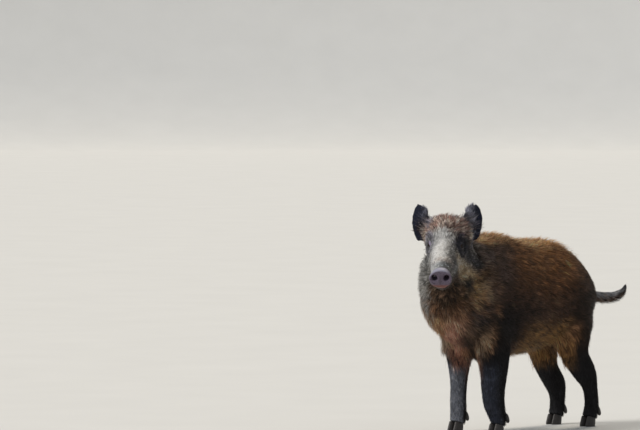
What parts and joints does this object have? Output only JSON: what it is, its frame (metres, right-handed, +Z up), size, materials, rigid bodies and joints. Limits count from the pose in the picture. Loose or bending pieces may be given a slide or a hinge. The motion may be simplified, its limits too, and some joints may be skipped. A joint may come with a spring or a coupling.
{
  "type": "wild boar",
  "caption": "Life-size young wild boar standing still, its head turned to its left and its tail held out, for display.",
  "frame": {"origin": "On the floor, under the middle of the whole animal's box.", "axes": "+Z up; the body faces -Y; the animal's left side is +X."},
  "size_m": [0.355, 1.022, 0.7167],
  "materials": {
    "brown_coat": "coarse hair",
    "dark_coat": "coarse hair",
    "grey_coat": "coarse hair",
    "nose_skin": "moist skin",
    "horn": "satin horn",
    "eye": "wet gloss"
  },
  "bodies": {
    "root": {"trunk": "brown_coat", "neck": "brown_coat", "head": "grey_coat", "snout": "nose_skin", "ear_left": "dark_coat", "ear_right": "dark_coat", "eye_left": "eye", "eye_right": "eye", "tail": "dark_coat", "fore_leg_left": "dark_coat", "fore_leg_right": "dark_coat", "hind_leg_left": "dark_coat", "hind_leg_right": "dark_coat", "claw_fore_left_inner": "horn", "claw_fore_left_outer": "horn", "claw_fore_right_inner": "horn", "claw_fore_right_outer": "horn", "claw_hind_left_inner": "horn", "claw_hind_left_outer": "horn", "claw_hind_right_inner": "horn", "claw_hind_right_outer": "horn", "dewclaw_fore_left_inner": "horn", "dewclaw_fore_left_outer": "horn", "dewclaw_fore_right_inner": "horn", "dewclaw_fore_right_outer": "horn", "dewclaw_hind_left_inner": "horn", "dewclaw_hind_left_outer": "horn", "dewclaw_hind_right_inner": "horn", "dewclaw_hind_right_outer": "horn"}
  },
  "joints": []
}
